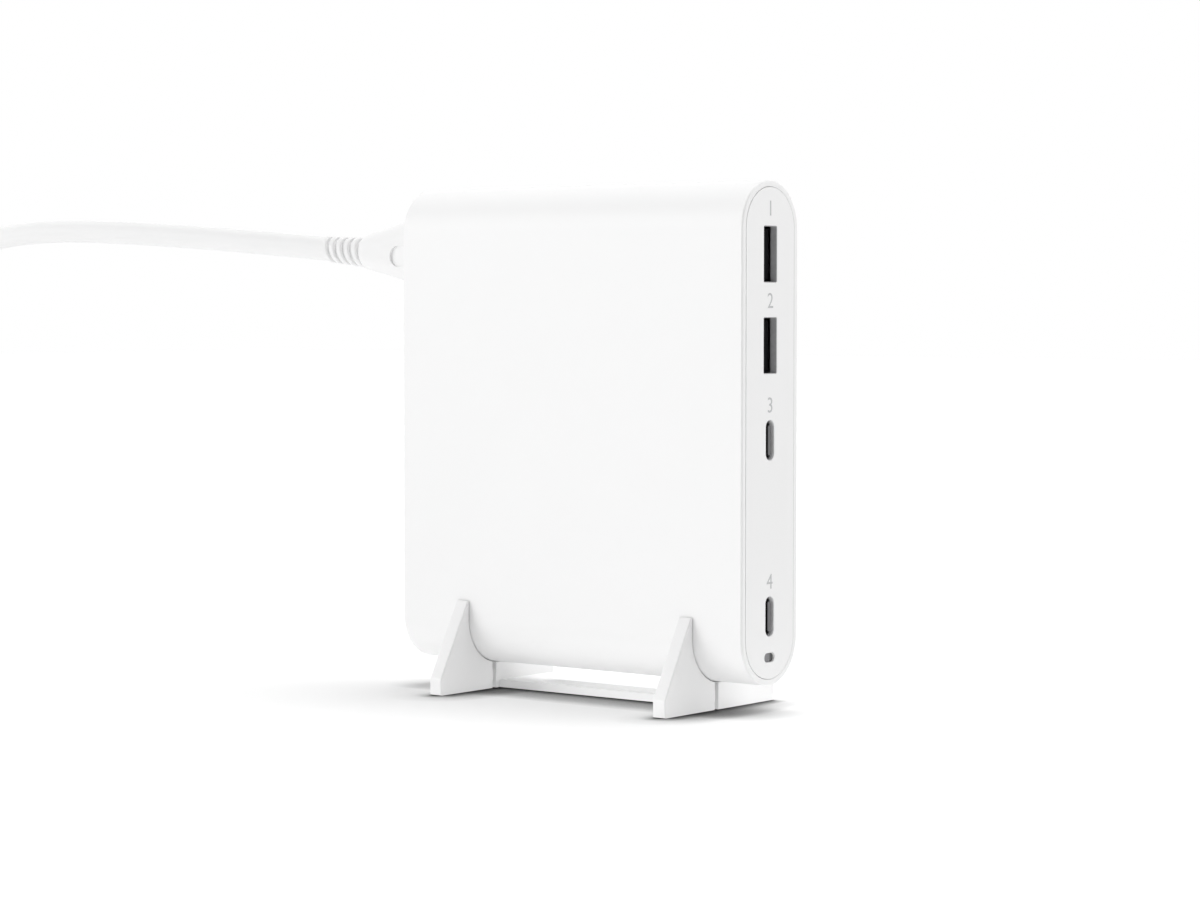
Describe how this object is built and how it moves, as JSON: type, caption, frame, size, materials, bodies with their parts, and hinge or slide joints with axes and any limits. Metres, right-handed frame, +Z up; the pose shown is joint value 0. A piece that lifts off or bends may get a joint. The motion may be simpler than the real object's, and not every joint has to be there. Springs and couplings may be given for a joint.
{
  "type": "multi port usb desktop charger",
  "caption": "White upright desktop USB charger with USB-A and USB-C ports on its narrow end, standing on edge in a slim clip-on stand, with its mains lead",
  "frame": {"origin": "On the floor, below the middle of the housing", "axes": "+X is the end with the ports, -Y is the front face that the picture shows, +Z is up"},
  "size_m": [0.4906, 0.0449, 0.1178],
  "materials": {
    "white_shell": "satin moulded white plastic",
    "white_stand": "satin moulded white plastic",
    "lead_sheath": "soft white PVC sheath",
    "tie_strap": "pale woven strap",
    "port_shell": "nickel-plated formed sheet",
    "port_insulator": "black moulded insulator",
    "contact_gold": "gold-plated contact strip",
    "plated_pins": "nickel-plated brass",
    "light_pipe": "translucent smoke-white light pipe",
    "led_body": "pale LED package",
    "circuit_board": "green solder mask on glass-fibre board",
    "chip_package": "black moulded package",
    "capacitor_sleeve": "dark shrink sleeve",
    "capacitor_can": "bare aluminium can",
    "film_capacitor_box": "yellow moulded box",
    "disc_coating": "dipped coating",
    "fuse_case": "moulded fuse case",
    "ferrite": "dark sintered ferrite",
    "copper_wire": "enamelled copper wire",
    "winding_tape": "yellow insulating tape",
    "bobbin_plastic": "black moulded bobbin",
    "spreader_metal": "bent aluminium sheet",
    "insulation_paper": "fish-paper sheet"
  },
  "bodies": {
    "root": {"bridge_rectifier": "chip_package", "bulk_capacitor_1": "capacitor_sleeve", "bulk_capacitor_2": "capacitor_sleeve", "choke_core": "ferrite", "choke_windings": "copper_wire", "cord_connector": "lead_sheath", "cord_ties": "tie_strap", "filter_capacitor": "film_capacitor_box", "fuse": "fuse_case", "heat_spreader": "spreader_metal", "housing_sleeve": "white_shell", "insulation_sheet": "insulation_paper", "led_light_pipe": "light_pipe", "main_board": "circuit_board", "mains_inlet": "port_insulator", "mains_inlet_pins": "plated_pins", "output_capacitor_1": "capacitor_can", "output_capacitor_2": "capacitor_can", "output_capacitor_3": "capacitor_can", "output_capacitor_4": "capacitor_can", "port_board": "circuit_board", "port_controller_1": "chip_package", "port_controller_2": "chip_package", "port_face_plate": "white_shell", "port_inductor_1": "ferrite", "port_inductor_2": "ferrite", "port_inductor_3": "ferrite", "port_inductor_4": "ferrite", "power_cord_hank": "lead_sheath", "power_cord_run": "lead_sheath", "power_cord_tail": "lead_sheath", "power_mosfet": "chip_package", "primary_controller": "chip_package", "rear_face_plate": "white_shell", "safety_capacitor": "disc_coating", "stand_base": "white_stand", "stand_fin_left": "white_stand", "stand_fin_right": "white_stand", "status_led": "led_body", "thermistor": "disc_coating", "transformer_bobbin": "bobbin_plastic", "transformer_core": "ferrite", "transformer_winding": "winding_tape", "usb_a_contacts_1": "contact_gold", "usb_a_contacts_2": "contact_gold", "usb_a_insulator_1": "port_insulator", "usb_a_insulator_2": "port_insulator", "usb_a_shell_1": "port_shell", "usb_a_shell_2": "port_shell", "usb_c_contacts_1": "contact_gold", "usb_c_contacts_2": "contact_gold", "usb_c_insulator_1": "port_insulator", "usb_c_insulator_2": "port_insulator", "usb_c_shell_1": "port_shell", "usb_c_shell_2": "port_shell", "wall_plug_blades": "plated_pins", "wall_plug_body": "lead_sheath"}
  },
  "joints": []
}
